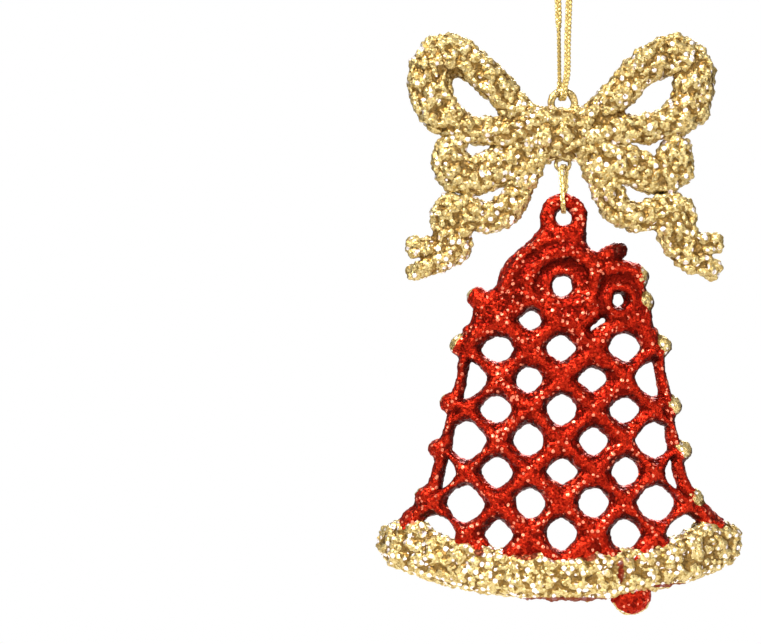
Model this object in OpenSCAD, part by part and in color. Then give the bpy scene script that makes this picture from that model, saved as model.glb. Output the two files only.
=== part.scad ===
// Hanging bell ornament: a glittered bow on a thread loop, with a flat lattice bell tied under it.
// The bow and the bell are two plastic mouldings. Each is drawn here as its named features, which meet
// face to face. Two threads carry them: the hanging loop, and the short tie between bow and bell.
// Millimetres, +Z up, front towards -Y. The origin is inside the top of the hanging loop, where a
// hook carries the ornament.

/* [Hanging loop] */
// Height from the hook down to the centre of the bow's eyelet
loop_drop = 66; // [60:1:90]
// Thickness of the hanging thread
cord_d = 1.0; // [0.6:0.1:1.1]
// Diameter of the overhand knot at the top of the loop
cord_knot_d = 3.2; // [2.4:0.1:4]

/* [Bow] */
// Depth of the bow's knot, front to back
bow_knot_t = 8; // [6:0.5:10]
// Depth of the two upper loops
upper_loop_t = 5.6; // [4:0.2:7]
// Depth of the two lower loops
lower_loop_t = 5; // [4:0.2:7]
// Depth of the two tails
tail_t = 4.4; // [3:0.2:6]

/* [Tie] */
// Thickness of the thread that ties the bell to the bow
tie_d = 0.7; // [0.4:0.1:0.8]

/* [Bell] */
// Distance from the bow's eyelet down to the centre of the bell's ring
ring_drop = 22.9; // [22.5:0.1:26]
// Radius that the bell's front bulges to
bell_r = 64; // [50:1:120]
// Thickness of the lattice
lattice_t = 3.8; // [3:0.1:5]
// Thickness of the crown
crown_t = 4.6; // [4:0.1:5.5]
// Thickness of the gold rim
rim_t = 6.6; // [5:0.1:8]
// Spacing of the lattice holes along a row
hole_pitch = 12.8; // [12:0.1:13.6]
// Size of a lattice hole across its flats
hole_w = 4.9; // [3.5:0.1:5.4]

/* [Hidden] */
$fn = 48;

gold = [0.78, 0.66, 0.36];
red = [0.72, 0.12, 0.06];
thread = [0.84, 0.74, 0.44];
cut = 60;  // depth of the tools that cut right through the ornament

// Rings that the threads pass through: mean radius and tube radius
eyelet_ring = [2.3, 0.9];
tab_ring = [1.35, 0.6];
bell_ring_size = [3.25, 1.75];
tab_z = -12.2;
thread_gap = 0.15;

// Every outline below is a list of [x, z, half width] in the bow's frame, whose origin is the centre of
// its eyelet. A ribbon or bar runs along the list with round joints.
knot_path = [[-1.1, -6.3, 5.5], [1.1, -6.3, 5.5]];
upper_left = [[-3.6, -4, 2.7], [-9, -1.4, 3], [-12.6, 2.8, 3.2], [-17.8, 7.4, 3.4], [-22.8, 9.6, 4.1],
    [-26.2, 7.6, 4.1], [-26.4, 3.2, 4.1], [-25, -1.2, 4], [-20.6, -4.6, 3.1], [-14.6, -5.6, 2.9],
    [-5.6, -6.6, 2.9]];
upper_right = [[3.8, -4.4, 2.7], [8.6, -0.8, 3], [12.2, 3, 3.2], [16.2, 7, 3.5], [21.8, 9.7, 4.1],
    [25.8, 7.4, 4], [26, 2.4, 4.1], [24.6, -1.8, 3.9], [19.4, -4.4, 3], [13.4, -5.2, 2.9],
    [5.4, -6.2, 2.9]];
lower_left = [[-4.6, -8.8, 3.5], [-9.5, -11.6, 4.1], [-13.5, -12.8, 4.1], [-18, -14.7, 3.5],
    [-21.8, -13.8, 3.8], [-22.6, -10.4, 3.9]];
lower_right = [[4.6, -8.8, 3.5], [9.5, -11.4, 4.1], [13.2, -12.6, 4.1], [17.8, -14.6, 3.5],
    [21.8, -13.6, 3.8], [22.6, -10.2, 3.8]];
tail_left = [[-6.2, -11.4, 2.8], [-8.4, -16.4, 2.9], [-10.4, -20.6, 3], [-14.6, -23, 3.1],
    [-19.4, -21.8, 3.4], [-22.4, -21.8, 3.6], [-22.6, -24.6, 3.6], [-21.6, -27.8, 3.7],
    [-24, -30.3, 3.4]];
tail_left_prongs = [[[-24.4, -29.2, 2.3], [-29.8, -28.7, 1.8]], [[-24.4, -31.8, 2.1],
    [-29.6, -33.8, 1.6]]];
tail_right = [[6.2, -11.4, 2.8], [8.4, -16.4, 2.9], [10.6, -20.6, 3], [14.8, -22.9, 3],
    [19.2, -21.8, 3.4], [22.8, -21.9, 3.7], [22.6, -25.6, 3.8], [24.4, -29.4, 3.6]];
tail_right_prongs = [[[24.8, -28.5, 2.5], [30.4, -28.1, 1.9]], [[24.8, -31, 2.5], [29.8, -33.2, 2]]];

// The bell: outlines and places, still in the bow's frame
crown_outline = [[-4.4, -25], [4.4, -25], [5, -28.6], [7.4, -29.8], [11.6, -31.4], [14.6, -31.8],
    [15.8, -32.8], [16.6, -35.4], [16.6, -38.4], [17.4, -41], [18.2, -44], [18.6, -46], [-18.6, -46],
    [-18, -42.4], [-17.2, -39.4], [-15.6, -37.8], [-13.4, -36.4], [-12.6, -34.2], [-11.4, -31.8],
    [-9.4, -29.6], [-7, -27.6]];
edge_left = [[-18.6, -45.6, 1.2], [-19.6, -52, 1.1], [-20.6, -57, 1.1], [-21.4, -60.4, 1.3],
    [-22.4, -65, 1.1], [-23.8, -69.6, 1.4], [-24.8, -74, 1.3], [-26.6, -79, 1.7], [-31, -84.6, 2.2]];
edge_right = [[18, -45.6, 1.2], [19.2, -51, 1.1], [20, -56, 1.1], [21, -60.6, 1.3], [21.6, -65, 1.1],
    [22.8, -69.6, 1.3], [23.6, -74, 1.2], [25.6, -79, 1.6], [30.6, -84.6, 2.2]];
rim_path = [[-31.4, -88.4, 5.3], [-24, -91.4, 4.9], [-12, -93.6, 4.8], [0, -94.4, 5], [12, -93.6, 4.8],
    [24, -91.2, 4.8], [31.2, -88.2, 5.3]];
nubs_left = [[-17, -38.8], [-20.4, -48.4], [-22.4, -60], [-24.6, -69.2], [-27.2, -78.8]];
nubs_right = [[15.2, -34.8], [16.2, -39.6], [19.8, -48.5], [21.8, -60.5], [23.9, -69.5], [26.2, -79.1]];
nub_r = 2.1;
rosette = [-0.2, -36.7];
rosette_r = 7.6;
rosette_hole_r = 2.05;
side_centre = [11, -39.4];
side_r = 5.2;
side_hole_r = 1.05;
rosette_t = 6.2;  // both rosettes stand out in front of the crown and reach this side of its back
side_t = 6;
rosette_back = 2.6;
side_shift = 0.8;  // how far back the side rosette and the leaf sit, where the bell curves away
leaf_path = [[8.6, -30.8, 1.5], [11.5, -29.4, 1.5]];
leaf_t = 3;
crown_opening = [-6.5, -43.6];
crown_opening_across = 4.2;
crown_slit = [[5.6, -45.1, 0.4], [8.2, -43.4, 0.4]];
crown_low_z = -46;
neck_room = [20, 10, 6];  // room left in the crown for the ring and its neck
clapper_centre = [13.4, -98.4];
clapper_r = 4.2;
clapper_t = 4;
first_row_z = -49;  // centre of the top row of lattice holes
row_pitch = 6.2;
rows = 7;
drawn_ring_z = -22.9;  // height at which these outlines put the bell's ring
tilt = -2.5;  // the bell leans forwards a little, so that its weight hangs under its ring

cord_knot_z = 68;

// Route of the hanging thread in the bow's frame: from the knot down behind the eyelet, through it to
// the front, and back up
cord_route = [[-0.5, 0, 67.2], [-1.5, 0, 63.5], [-2.1, 0, 58], [-2.1, 0, 50], [-1.8, 0.1, 40],
    [-1.3, 0.3, 30], [-0.9, 0.6, 20], [-0.7, 1, 12], [-0.6, 1.4, 6], [-0.5, 1.6, 3.4], [-0.4, 1.4, 1.6],
    [-0.2, 0.6, 0.85], [0, -0.6, 0.85], [0.1, -1.4, 1.6], [0.3, -1.6, 3.4], [0.8, -1.3, 6],
    [0.9, -0.9, 12], [1.2, -0.5, 20], [1.6, -0.3, 30], [2, -0.1, 40], [2.2, 0, 50], [2.1, 0, 58],
    [1.5, 0, 63.5], [0.5, 0, 67.2]];

// The tie is a closed loop of thread round the foot of the tab and the top of the bell's ring
tie_top_z = tab_z - tab_ring[0];
tie_low_z = -ring_drop + bell_ring_size[0];
tie_top_r = tab_ring[1] + tie_d / 2 + thread_gap;
tie_low_r = bell_ring_size[1] + tie_d / 2 + thread_gap;
tie_front_x = -0.15;
tie_back_x = 0.45;
tie_knot_back = 0.8;
tie_arc = [for (a = [0:20:180]) a];
tie_route = concat(
    [for (a = tie_arc) [tie_x(a), tie_top_r * cos(a), tie_top_z + tie_top_r * sin(a)]],
    [for (a = tie_arc) [tie_x(180 - a), -tie_low_r * cos(a), tie_low_z - tie_low_r * sin(a)]]);
function tie_x(a) = tie_back_x + (tie_front_x - tie_back_x) * a / 180;

// A point on a smooth curve between p1 and p2
function curve_point(p0, p1, p2, p3, t) = 0.5 * (2 * p1 + (p2 - p0) * t
    + (2 * p0 - 5 * p1 + 4 * p2 - p3) * t * t + (3 * p1 - p0 - 3 * p2 + p3) * t * t * t);
function clamp(i, last) = max(0, min(last, i));
function smooth(p, steps) = concat([for (i = [0:len(p) - 2], j = [0:steps - 1])
    curve_point(p[clamp(i - 1, len(p) - 1)], p[i], p[i + 1], p[clamp(i + 2, len(p) - 1)], j / steps)],
    [p[len(p) - 1]]);
function unit(v) = v / norm(v);

// A tube of radius r along points that never run along X, as one closed mesh
module tube(points, r, closed = false, sides = 8) {
    n = len(points);
    function next(i) = closed ? (i + 1) % n : min(i + 1, n - 1);
    function last(i) = closed ? (i + n - 1) % n : max(i - 1, 0);
    function ahead(i) = unit(points[next(i)] - points[last(i)]);
    function side(i) = unit(cross(cross(ahead(i), [1, 0, 0]), ahead(i)));
    ring_points = [for (i = [0:n - 1], k = [0:sides - 1])
        points[i] + r * (cos(360 * k / sides) * side(i)
            + sin(360 * k / sides) * cross(ahead(i), side(i)))];
    walls = [for (i = [0:n - (closed ? 1 : 2)], k = [0:sides - 1])
        [i * sides + k, next(i) * sides + k, next(i) * sides + (k + 1) % sides,
            i * sides + (k + 1) % sides]];
    caps = closed ? [] : [[for (k = [0:sides - 1]) k],
        [for (k = [0:sides - 1]) n * sides - 1 - k]];
    polyhedron(ring_points, concat(walls, caps), convexity = 6);
}

// A flat band along [x, z, half width] points: round joints, and straight tangent sides between them
module band(path) {
    for (p = path)
        translate([p[0], p[1]])
            circle(r = p[2]);
    for (i = [0:len(path) - 2]) {
        a = path[i];
        b = path[i + 1];
        run = [b[0] - a[0], b[1] - a[1]];
        turn = acos((a[2] - b[2]) / norm(run));
        heading = atan2(run[1], run[0]);
        up = [cos(heading + turn), sin(heading + turn)];
        down = [cos(heading - turn), sin(heading - turn)];
        polygon([[a[0], a[1]] + a[2] * up, [a[0], a[1]] + a[2] * down,
            [b[0], b[1]] + b[2] * down, [b[0], b[1]] + b[2] * up]);
    }
}

// A ribbon of the bow: a band with its inside corners rounded off
module ribbon(path) {
    offset(r = -0.5, $fn = 24)
        offset(r = 0.5, $fn = 24)
            band(path, $fn = 24);
}

// The same kind of band as one smooth outline, for gentle curves: along one side, round the end, back
// along the other side and round the start
module strip(path) {
    line = smooth(path, 4);
    n = len(line);
    function heading(i) = let (d = line[min(i + 1, n - 1)] - line[max(i - 1, 0)]) atan2(d[1], d[0]);
    function rim_point(i, turn) = [line[i][0], line[i][1]]
        + line[i][2] * [cos(heading(i) + turn), sin(heading(i) + turn)];
    polygon(concat([for (i = [0:n - 1]) rim_point(i, 90)],
        [for (turn = [72:-18:-72]) rim_point(n - 1, turn)],
        [for (i = [n - 1:-1:0]) rim_point(i, -90)],
        [for (turn = [-108:-18:-252]) rim_point(0, turn)]));
}

// Stands a flat outline up in the XZ plane, with its thickness centred on y = 0
module upright(thickness) {
    rotate([90, 0, 0])
        translate([0, 0, -thickness / 2])
            linear_extrude(thickness)
                children();
}

// A ring that lies in the XZ plane
module ring(size) {
    rotate([90, 0, 0])
        rotate_extrude()
            translate([size[0], 0])
                circle(r = size[1]);
}

// The bow's frame: children are drawn with the centre of its eyelet as their origin
module hung() {
    translate([0, 0, -loop_drop])
        children();
}

// The bell's frame is the bow's, tilted about the bell's ring
module belled() {
    translate([0, 0, -loop_drop - ring_drop])
        rotate([tilt, 0, 0])
            translate([0, 0, -drawn_ring_z])
                children();
}

// An outline pressed out of the bulging sheet that the bell is made from
module pressed(thickness) {
    difference() {
        intersection() {
            upright(cut)
                children();
            translate([0, bell_r, -110])
                cylinder(r = bell_r + thickness / 2, h = 100, $fn = 180);
        }
        translate([0, bell_r, -111])
            cylinder(r = bell_r - thickness / 2, h = 102, $fn = 180);
    }
}

function bulge(x) = bell_r - sqrt(bell_r * bell_r - x * x);

// One diamond hole with its corners cut off
module hole_outline(w) {
    flat = w * 0.34;
    half = w / 2;
    rotate(45)
        polygon([[half, flat], [flat, half], [-flat, half], [-half, flat], [-half, -flat],
            [-flat, -half], [flat, -half], [half, -flat]]);
}

// Hole places follow the bulge, so that the outer columns look closer together
module lattice_holes() {
    for (row = [0:rows - 1], k = [-2:2]) {
        along = (k + (row % 2 == 0 ? 0 : 0.5)) * hole_pitch;
        translate([bell_r * sin(along / bell_r * 180 / PI), first_row_z - row * row_pitch])
            hole_outline(hole_w);
    }
}

module lattice_region() {
    right_side = [for (p = edge_right) [p[0], p[1]]];
    left_side = [for (i = [len(edge_left) - 1:-1:0]) [edge_left[i][0], edge_left[i][1]]];
    intersection() {
        polygon(concat(right_side, [[31, -88], [0, -94], [-31, -88]], left_side));
        translate([-cut, -46 - cut])
            square([2 * cut, cut]);
    }
}

// ---- Hanging loop ----
module hanging_cord() {
    color(thread)
        hung()
            tube(smooth(cord_route, 3), cord_d / 2);
}

module cord_knot() {
    tail_h = 4;
    color(thread)
        hung()
            translate([0, 0, cord_knot_z]) {
                sphere(d = cord_knot_d);
                for (side = [-1, 1])
                    rotate([0, side * 14, 0])
                        cylinder(d = cord_d, h = cord_knot_d / 2 + tail_h);
            }
}

// ---- Bow ----
module bow_eyelet() {
    color(gold)
        hung()
            difference() {
                ring(eyelet_ring);
                upright(cut)
                    band(knot_path);
            }
}

module bow_knot() {
    color(gold)
        hung()
            upright(bow_knot_t)
                difference() {
                    band(knot_path);
                    translate([0, tab_z])
                        circle(r = tab_ring[0]);
                }
}

module upper_loop(path) {
    color(gold)
        hung()
            upright(upper_loop_t)
                difference() {
                    ribbon(path);
                    band(knot_path);
                    circle(r = eyelet_ring[0] + eyelet_ring[1]);
                }
}

module bow_upper_loop_left() upper_loop(upper_left);

module bow_upper_loop_right() upper_loop(upper_right);

module lower_loop(path, above) {
    color(gold)
        hung()
            upright(lower_loop_t)
                difference() {
                    ribbon(path);
                    band(knot_path);
                    ribbon(above);
                }
}

module bow_lower_loop_left() lower_loop(lower_left, upper_left);

module bow_lower_loop_right() lower_loop(lower_right, upper_right);

module tail(path, prongs, above) {
    color(gold)
        hung()
            upright(tail_t)
                difference() {
                    offset(r = -0.3, $fn = 24)
                        offset(r = 0.3, $fn = 24) {
                            ribbon(path);
                            for (prong = prongs)
                                band(prong, $fn = 24);
                        }
                    band(knot_path);
                    ribbon(above);
                }
}

module bow_tail_left() tail(tail_left, tail_left_prongs, lower_left);

module bow_tail_right() tail(tail_right, tail_right_prongs, lower_right);

module bow_tab() {
    color(gold)
        hung()
            translate([0, 0, tab_z])
                difference() {
                    ring(tab_ring);
                    upright(cut)
                        translate([0, -tab_z])
                            difference() {
                                band(knot_path);
                                translate([0, tab_z])
                                    circle(r = tab_ring[0]);
                            }
                }
}

// ---- Tie ----
module tie_thread() {
    color(thread)
        hung()
            tube(tie_route, tie_d / 2, closed = true);
}

module tie_knot() {
    color(thread)
        hung()
            translate([tie_back_x, tie_top_r + tie_knot_back, (tie_top_z + tie_low_z) / 2])
                sphere(d = 2 * tie_d + 0.2);
}

// ---- Bell ----
module bell_ring() {
    neck = [8.8, 3.2, 3.4];
    color(red)
        hung()
            translate([0, 0, -ring_drop]) {
                ring(bell_ring_size);
                translate([-neck[0] / 2, -neck[1] / 2, -2.6 - neck[2]])
                    cube(neck);
            }
}

module bell_crown() {
    color(red)
        difference() {
            belled()
                pressed(crown_t)
                    difference() {
                        polygon(crown_outline);
                        translate(rosette)
                            circle(r = rosette_r);
                        translate(side_centre)
                            circle(r = side_r);
                        translate(crown_opening)
                            hole_outline(crown_opening_across);
                        strip(crown_slit);
                        strip(edge_left);
                        strip(edge_right);
                    }
            hung()
                translate([-neck_room[0] / 2, -neck_room[1] / 2, -ring_drop - neck_room[2]])
                    cube(neck_room);
        }
}

module crown_rosette() {
    color(red)
        belled()
            translate([rosette[0], 0, rosette[1]])
                rotate([90, 0, 0])
                    difference() {
                        translate([0, 0, -rosette_back])
                            cylinder(r = rosette_r, h = rosette_t, $fn = 64);
                        translate([0, 0, -cut / 2])
                            cylinder(r = rosette_hole_r, h = cut);
                    }
}

module side_rosette() {
    color(red)
        belled()
            difference() {
                translate([side_centre[0], side_shift, side_centre[1]])
                    rotate([90, 0, 0])
                        difference() {
                            translate([0, 0, -rosette_back])
                                cylinder(r = side_r, h = side_t, $fn = 64);
                            translate([0, 0, -cut / 2])
                                cylinder(r = side_hole_r, h = cut);
                        }
                upright(cut)
                    translate(rosette)
                        circle(r = rosette_r);
            }
}

module crown_leaf() {
    color(red)
        belled()
            translate([0, side_shift, 0])
                upright(leaf_t)
                    difference() {
                        band(leaf_path);
                        polygon(crown_outline);
                        translate(side_centre)
                            circle(r = side_r);
                    }
}

module lattice_panel() {
    color(red)
        belled()
            pressed(lattice_t)
                difference() {
                    lattice_region();
                    lattice_holes();
                    strip(edge_left);
                    strip(edge_right);
                    strip(rim_path);
                }
}

module edge_strip(path) {
    color(red)
        belled()
            pressed(lattice_t)
                difference() {
                    strip(path);
                    strip(rim_path);
                    translate([-cut, crown_low_z])
                        square([2 * cut, cut]);
                }
}

module edge_bar_left() edge_strip(edge_left);

module edge_bar_right() edge_strip(edge_right);

// Beads along an edge: each is the part of a ball that stands out past the bell's outline
module edge_nubs(places) {
    color(gold)
        belled()
            difference() {
                for (p = places)
                    translate([p[0], bulge(p[0]), p[1]])
                        sphere(r = nub_r);
                upright(cut) {
                    polygon(crown_outline);
                    strip(edge_left);
                    strip(edge_right);
                    lattice_region();
                }
            }
}

module edge_nubs_left() edge_nubs(nubs_left);

module edge_nubs_right() edge_nubs(nubs_right);

module rim_band() {
    color(gold)
        belled()
            pressed(rim_t)
                strip(rim_path);
}

module clapper() {
    color(red)
        belled()
            translate([0, bulge(clapper_centre[0]), 0])
                upright(clapper_t)
                    difference() {
                        translate(clapper_centre)
                            circle(r = clapper_r);
                        strip(rim_path);
                    }
}

hanging_cord();
cord_knot();
bow_eyelet();
bow_knot();
bow_upper_loop_left();
bow_upper_loop_right();
bow_lower_loop_left();
bow_lower_loop_right();
bow_tail_left();
bow_tail_right();
bow_tab();
tie_thread();
tie_knot();
bell_ring();
bell_crown();
crown_rosette();
side_rosette();
crown_leaf();
lattice_panel();
edge_bar_left();
edge_bar_right();
edge_nubs_left();
edge_nubs_right();
rim_band();
clapper();
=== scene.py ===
"""Looks of the hanging bell ornament: glittered mouldings and braided threads round the CAD frame.

Lengths in the tables are millimetres in the bow's frame, whose origin is the centre of the bow's
eyelet (x right, y back, z up). Meshes are built in millimetres there and turned into metres in the
row frame when they become objects.
"""
import math

import bmesh
import bpy
import numpy as np
from mathutils import Matrix, Vector, noise


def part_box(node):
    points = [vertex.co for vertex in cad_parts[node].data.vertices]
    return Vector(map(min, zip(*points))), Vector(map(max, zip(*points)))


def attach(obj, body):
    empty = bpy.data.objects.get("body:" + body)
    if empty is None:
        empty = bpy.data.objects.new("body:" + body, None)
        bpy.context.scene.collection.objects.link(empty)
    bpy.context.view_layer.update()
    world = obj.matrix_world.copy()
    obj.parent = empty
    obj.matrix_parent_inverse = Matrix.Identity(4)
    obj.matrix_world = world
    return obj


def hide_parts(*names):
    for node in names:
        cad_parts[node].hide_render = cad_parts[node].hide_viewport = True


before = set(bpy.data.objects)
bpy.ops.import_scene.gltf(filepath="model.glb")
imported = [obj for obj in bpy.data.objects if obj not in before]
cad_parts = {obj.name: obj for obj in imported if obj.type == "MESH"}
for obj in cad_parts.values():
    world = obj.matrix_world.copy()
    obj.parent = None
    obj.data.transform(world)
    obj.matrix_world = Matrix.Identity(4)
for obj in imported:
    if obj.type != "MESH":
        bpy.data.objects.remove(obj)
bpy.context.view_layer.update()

MM = 0.001
X = np.array([1.0, 0, 0])
Y = np.array([0, 1.0, 0])
Z = np.array([0, 0, 1.0])

# ---- Driving dimensions ----
# Rings: radius to the middle of the tube, and the tube's own radius
EYELET_R, EYELET_TUBE = 2.3, 0.9
TAB_R, TAB_TUBE = 1.35, 0.6
RING_R, RING_TUBE = 3.25, 1.75
RING_X, RING_Z = 0.1, -22.9
TAB_Z = -12.2
KNOT_Z = -6.3
CORD_W, TIE_W = 1.3, 0.95
# The bell's sheet is part of an upright cylinder, and hangs a little tilted
BELL_R = 64
BELL_TILT = math.radians(-2.5)
NUB_R = 2.1
ROSETTE = (-0.2, -36.7)
SIDE_ROSETTE = (11, -39.4)
CLAPPER = (13.4, -98.4)
CLAPPER_R = 4.2
# The lattice: rows of holes, each shifted half a pitch against the next
HOLE_PITCH, ROW_PITCH = 12.8, 6.2
FIRST_ROW_Z = -49
ROWS = 7

BOW_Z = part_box("bow_eyelet")[1][2] / MM - EYELET_R - EYELET_TUBE
BOW_FRAME = Matrix.Scale(MM, 4) @ Matrix.Translation((0, 0, BOW_Z))
BELL_FRAME = (
    BOW_FRAME
    @ Matrix.Translation((0, 0, RING_Z))
    @ Matrix.Rotation(BELL_TILT, 4, "X")
    @ Matrix.Translation((0, 0, -RING_Z))
)

# ---- Routes and outlines ----
# The hanging thread's way down to the eyelet and back up: [x, y, z]
CORD_ROUTE = [
    (-0.5, 0, 67.2), (-1.5, 0, 63.5), (-2.1, 0, 58), (-2.1, 0, 50), (-1.8, 0.1, 40), (-1.3, 0.3, 30),
    (-0.9, 0.6, 20), (-0.7, 1, 12), (-0.6, 1.4, 6), (-0.5, 1.6, 3.4), (-0.4, 1.4, 1.6),
    (-0.2, 0.6, 0.85), (0, -0.6, 0.85), (0.1, -1.4, 1.6), (0.3, -1.6, 3.4), (0.8, -1.3, 6),
    (0.9, -0.9, 12), (1.2, -0.5, 20), (1.6, -0.3, 30), (2, -0.1, 40), (2.2, 0, 50), (2.1, 0, 58),
    (1.5, 0, 63.5), (0.5, 0, 67.2),
]
CORD_KNOT_Z = 68

# Ribbons of the bow: [x, z, half width]
UPPER_LEFT = [
    (-3.6, -4, 2.7), (-9, -1.4, 3), (-12.6, 2.8, 3.2), (-17.8, 7.4, 3.4), (-22.8, 9.6, 4.1),
    (-26.2, 7.6, 4.1), (-26.4, 3.2, 4.1), (-25, -1.2, 4), (-20.6, -4.6, 3.1), (-14.6, -5.6, 2.9),
    (-5.6, -6.6, 2.9),
]
UPPER_RIGHT = [
    (3.8, -4.4, 2.7), (8.6, -0.8, 3), (12.2, 3, 3.2), (16.2, 7, 3.5), (21.8, 9.7, 4.1),
    (25.8, 7.4, 4), (26, 2.4, 4.1), (24.6, -1.8, 3.9), (19.4, -4.4, 3), (13.4, -5.2, 2.9),
    (5.4, -6.2, 2.9),
]
LOWER_LEFT = [
    (-4.6, -8.8, 3.5), (-9.5, -11.6, 4.1), (-13.5, -12.8, 4.1), (-18, -14.7, 3.5),
    (-21.8, -13.8, 3.8), (-22.6, -10.4, 3.9),
]
LOWER_RIGHT = [
    (4.6, -8.8, 3.5), (9.5, -11.4, 4.1), (13.2, -12.6, 4.1), (17.8, -14.6, 3.5), (21.8, -13.6, 3.8),
    (22.6, -10.2, 3.8),
]
TAIL_LEFT = [
    (-6.2, -11.4, 2.8), (-8.4, -16.4, 2.9), (-10.4, -20.6, 3), (-14.6, -23, 3.1),
    (-19.4, -21.8, 3.4), (-22.4, -21.8, 3.6), (-22.6, -24.6, 3.6), (-21.6, -27.8, 3.7),
    (-24, -30.3, 3.4),
]
TAIL_LEFT_PRONGS = [
    [(-24.4, -29.2, 2.3), (-29.8, -28.7, 1.8)],
    [(-24.4, -31.8, 2.1), (-29.6, -33.8, 1.6)],
]
TAIL_RIGHT = [
    (6.2, -11.4, 2.8), (8.4, -16.4, 2.9), (10.6, -20.6, 3), (14.8, -22.9, 3), (19.2, -21.8, 3.4),
    (22.8, -21.9, 3.7), (22.6, -25.6, 3.8), (24.4, -29.4, 3.6),
]
TAIL_RIGHT_PRONGS = [
    [(24.8, -28.5, 2.5), (30.4, -28.1, 1.9)],
    [(24.8, -31, 2.5), (29.8, -33.2, 2)],
]

# The bell, in its own flat drawing: [x, z], with a half width where there is a third number
CROWN_OUTLINE = [
    (-4.4, -25), (4.4, -25), (5, -28.6), (7.4, -29.8), (11.6, -31.4), (14.6, -31.8), (15.8, -32.8),
    (16.6, -35.4), (16.6, -38.4), (17.4, -41), (18.2, -44), (18.6, -46), (-18.6, -46),
    (-18, -42.4), (-17.2, -39.4), (-15.6, -37.8), (-13.4, -36.4), (-12.6, -34.2), (-11.4, -31.8),
    (-9.4, -29.6), (-7, -27.6),
]
EDGE_LEFT = [
    (-18.6, -45.6, 1.2), (-19.6, -52, 1.1), (-20.6, -57, 1.1), (-21.4, -60.4, 1.3),
    (-22.4, -65, 1.1), (-23.8, -69.6, 1.4), (-24.8, -74, 1.3), (-26.6, -79, 1.7), (-31, -84.6, 2.2),
]
EDGE_RIGHT = [
    (18, -45.6, 1.2), (19.2, -51, 1.1), (20, -56, 1.1), (21, -60.6, 1.3), (21.6, -65, 1.1),
    (22.8, -69.6, 1.3), (23.6, -74, 1.2), (25.6, -79, 1.6), (30.6, -84.6, 2.2),
]
RIM = [
    (-31.4, -88.4, 5.3), (-24, -91.4, 4.9), (-12, -93.6, 4.8), (0, -94.4, 5), (12, -93.6, 4.8),
    (24, -91.2, 4.8), (31.2, -88.2, 5.3),
]
NUBS_LEFT = [(-17, -38.8), (-20.4, -48.4), (-22.4, -60), (-24.6, -69.2), (-27.2, -78.8)]
NUBS_RIGHT = [
    (15.2, -34.8), (16.2, -39.6), (19.8, -48.5), (21.8, -60.5), (23.9, -69.5), (26.2, -79.1),
]
LEAF = [(8.6, -30.4), (11.3, -29.4)]
LEAF_R = 1.7


# ---- Camera: level, and left of the ornament, which so hangs in the picture's right half ----
CAMERA_PLACE = (-0.03646, -0.5708, -0.1098)
LENS, SENSOR = 135, 36


def make_camera():
    lens = bpy.data.cameras.new("camera")
    lens.lens = LENS
    lens.sensor_width = SENSOR
    lens.clip_start = 0.01
    camera = bpy.data.objects.new("camera", lens)
    camera.location = CAMERA_PLACE
    camera.rotation_euler = (math.pi / 2, 0, 0)
    bpy.context.collection.objects.link(camera)
    bpy.context.scene.camera = camera


make_camera()


# ---- Curves ----
def curve_point(p0, p1, p2, p3, t):
    """A point on a Catmull-Rom curve between p1 and p2."""
    bend = (p2 - p0) * t + (2 * p0 - 5 * p1 + 4 * p2 - p3) * t**2 + (3 * p1 - p0 - 3 * p2 + p3) * t**3
    return p1 + bend / 2


def smooth(points, steps, closed=False):
    """The smooth curve through points, with steps pieces between one point and the next."""
    points = [np.array(p, dtype=float) for p in points]
    last = len(points) - 1

    def pick(i):
        return points[i % (last + 1)] if closed else points[max(0, min(last, i))]

    line = []
    for i in range(last + 1 if closed else last):
        for j in range(steps):
            line.append(curve_point(pick(i - 1), pick(i), pick(i + 1), pick(i + 2), j / steps))
    return line if closed else line + [points[last]]


def evenly(line, step):
    """The same line with points that are step apart."""
    line = np.array(line)
    run = np.concatenate([[0], np.cumsum(np.linalg.norm(np.diff(line, axis=0), axis=1))])
    count = max(2, round(run[-1] / step) + 1)
    places = np.linspace(0, run[-1], count)
    return np.stack([np.interp(places, run, line[:, i]) for i in range(line.shape[1])], axis=1), places


# ---- Shapes, in millimetres ----
CAP_ANGLES = (30, 55, 75)
TORUS_STEPS, TORUS_SIDES = 40, 12


class Shape:
    """Closed surfaces that are joined into one piece."""

    def __init__(self):
        self.verts = []
        self.faces = []

    def tube(self, rings, closed=False):
        """A tube through rings of points. Open ends are capped."""
        start = len(self.verts)
        sides = len(rings[0])
        for ring in rings:
            self.verts.extend(tuple(p) for p in ring)
        count = len(rings)
        for i in range(count if closed else count - 1):
            a = start + i * sides
            b = start + (i + 1) % count * sides
            for k in range(sides):
                m = (k + 1) % sides
                self.faces.append((a + k, a + m, b + m, b + k))
        if not closed:
            self.faces.append(tuple(start + k for k in reversed(range(sides))))
            self.faces.append(tuple(start + (count - 1) * sides + k for k in range(sides)))

    def mesh(self, name):
        mesh = bpy.data.meshes.new(name)
        mesh.from_pydata(self.verts, [], self.faces)
        mesh.validate()
        return mesh


def unit(v):
    return v / max(np.linalg.norm(v), 1e-9)


def headings(line, closed=False):
    """The direction of travel at each point of a line."""
    if closed:
        return [unit(line[(i + 1) % len(line)] - line[i - 1]) for i in range(len(line))]
    return [unit(line[min(i + 1, len(line) - 1)] - line[max(i - 1, 0)]) for i in range(len(line))]


def ellipse(centre, side, depth, w, d, sides, flat=1.0):
    """A ring round centre. flat under 1 squares its corners."""
    ring = []
    for k in range(sides):
        a = 2 * math.pi * k / sides
        c, s = math.cos(a), math.sin(a)
        c = math.copysign(abs(c) ** flat, c)
        s = math.copysign(abs(s) ** flat, s)
        ring.append(centre + side * w * c + depth * d * s)
    return ring


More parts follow.
